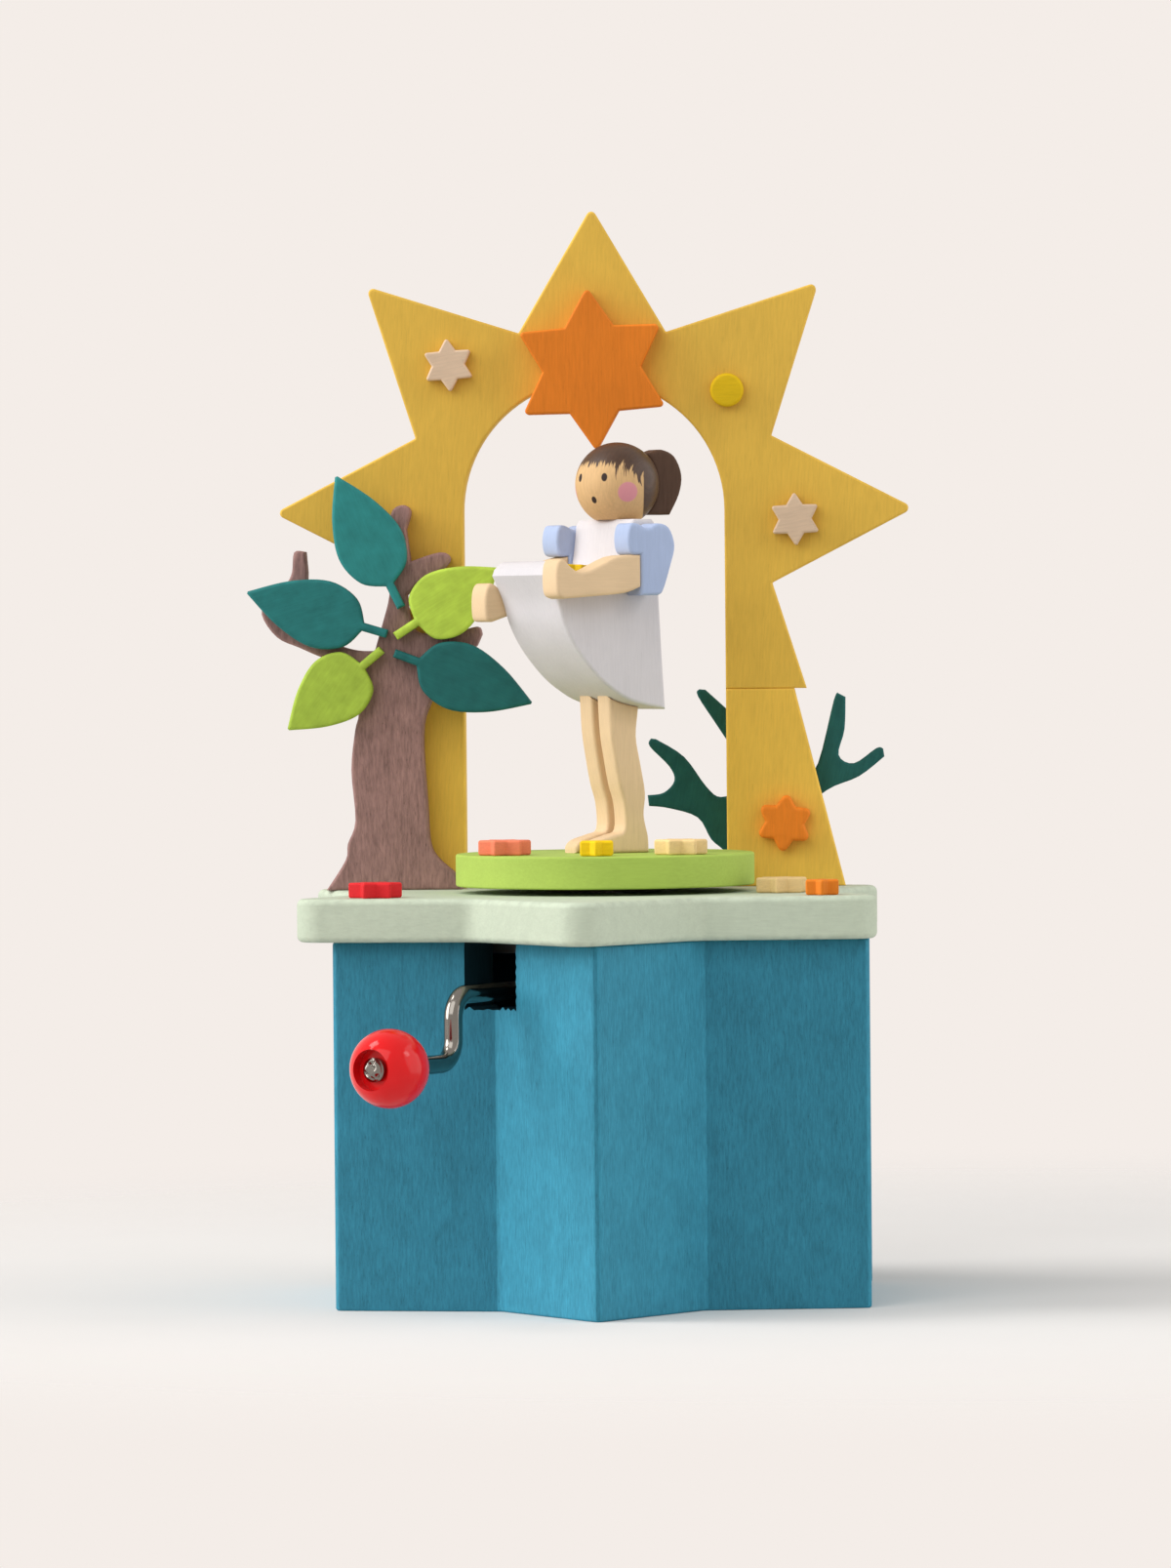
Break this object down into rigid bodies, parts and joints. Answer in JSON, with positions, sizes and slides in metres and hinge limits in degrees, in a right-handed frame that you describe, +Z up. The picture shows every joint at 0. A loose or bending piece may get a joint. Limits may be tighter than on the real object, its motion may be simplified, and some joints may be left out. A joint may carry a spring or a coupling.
{
  "type": "music box",
  "caption": "Hand-cranked wooden music box: a star-shaped box with a star arch, tree and bush, and a doll on a turntable that the crank drives.",
  "frame": {"origin": "centre of the flat underside, on the turntable's axis", "axes": "+Z up along the turntable's axis, -Y towards the front with the doll in view before the arch, +X to the right"},
  "size_m": [0.1099, 0.1155, 0.1792],
  "materials": {
    "blue_wood": "blue stain, satin",
    "raw_wood": "bare",
    "mint_wood": "pale mint stain, satin",
    "yellow_wood": "yellow stain, satin",
    "orange_wood": "orange stain, satin",
    "cream_wood": "cream stain, satin",
    "gold_wood": "bright yellow stain, satin",
    "brown_wood": "brown stain, satin",
    "teal_wood": "dark teal stain, satin",
    "lime_wood": "light green stain, satin",
    "dark_green_wood": "dark green stain, satin",
    "red_wood": "red stain, satin",
    "pink_wood": "pink stain, satin",
    "green_wood": "pale green stain, satin",
    "skin_wood": "clear varnish, painted hair and face",
    "white_wood": "white paint, satin",
    "pale_blue_wood": "pale blue paint, satin",
    "hair_wood": "dark brown stain, satin",
    "dark_collar": "matt",
    "red_gloss": "gloss",
    "bright_wire": "bright",
    "steel": "bare",
    "brass": "bare",
    "casting": "bare casting"
  },
  "bodies": {
    "case": {"star_box": "blue_wood", "bottom_plate": "raw_wood", "bottom_screws": "steel", "top_plate": "mint_wood", "arch_top": "yellow_wood", "arch_leg_left": "yellow_wood", "arch_leg_right": "yellow_wood", "arch_dowels": "raw_wood", "arch_orange_star": "orange_wood", "arch_cream_stars": "cream_wood", "arch_button": "gold_wood", "leg_orange_star": "orange_wood", "tree_trunk": "brown_wood", "leaf_top": "teal_wood", "leaf_left": "teal_wood", "leaf_right": "lime_wood", "leaf_lower_left": "lime_wood", "leaf_lower_right": "teal_wood", "bush": "dark_green_wood", "plate_red_star": "red_wood", "plate_cream_star": "cream_wood", "plate_orange_star": "orange_wood", "bedplate": "casting", "bed_screws": "steel", "spindle_bush": "brass", "comb": "steel", "comb_screws": "steel"},
    "turntable": {"turntable": "green_wood", "collar": "dark_collar", "spindle": "steel", "crown_wheel": "brass", "disc_pink_star": "pink_wood", "disc_yellow_star": "gold_wood", "disc_cream_star": "cream_wood", "doll_leg_left": "skin_wood", "doll_leg_right": "skin_wood", "foot_pins": "steel", "dress": "white_wood", "sleeve_left": "pale_blue_wood", "sleeve_right": "pale_blue_wood", "arm_left": "skin_wood", "arm_right": "skin_wood", "neck_dowel": "raw_wood", "head": "skin_wood", "ponytail": "hair_wood", "lap_star": "gold_wood"},
    "crank": {"crank_wire": "bright_wire", "pinion": "brass", "worm": "steel", "knob_washer": "bright_wire"},
    "knob": {"knob": "red_gloss"},
    "barrel": {"barrel": "brass", "arbor": "steel", "worm_wheel": "brass"}
  },
  "joints": [
    {"name": "turntable_spin", "type": "hinge", "parent": "case", "child": "turntable", "pos_m": [0, 0, 0.07], "axis": [0, 0, 1], "continuous": true},
    {"name": "crank_turn", "type": "hinge", "parent": "case", "child": "crank", "pos_m": [0, 0, 0.0515], "axis": [-0.5, -0.866, 0], "continuous": true},
    {"name": "barrel_spin", "type": "hinge", "parent": "case", "child": "barrel", "pos_m": [0.001, 0.00173, 0.04175], "axis": [0.866, -0.5, 0], "continuous": true},
    {"name": "knob_spin", "type": "hinge", "parent": "crank", "child": "knob", "pos_m": [-0.03225, -0.05586, 0.0407], "axis": [-0.5, -0.866, 0], "continuous": true}
  ],
  "couplings": [
    {"joint": "crank_turn", "follows": "turntable_spin", "ratio": -3},
    {"joint": "barrel_spin", "follows": "turntable_spin", "ratio": 0.15}
  ]
}
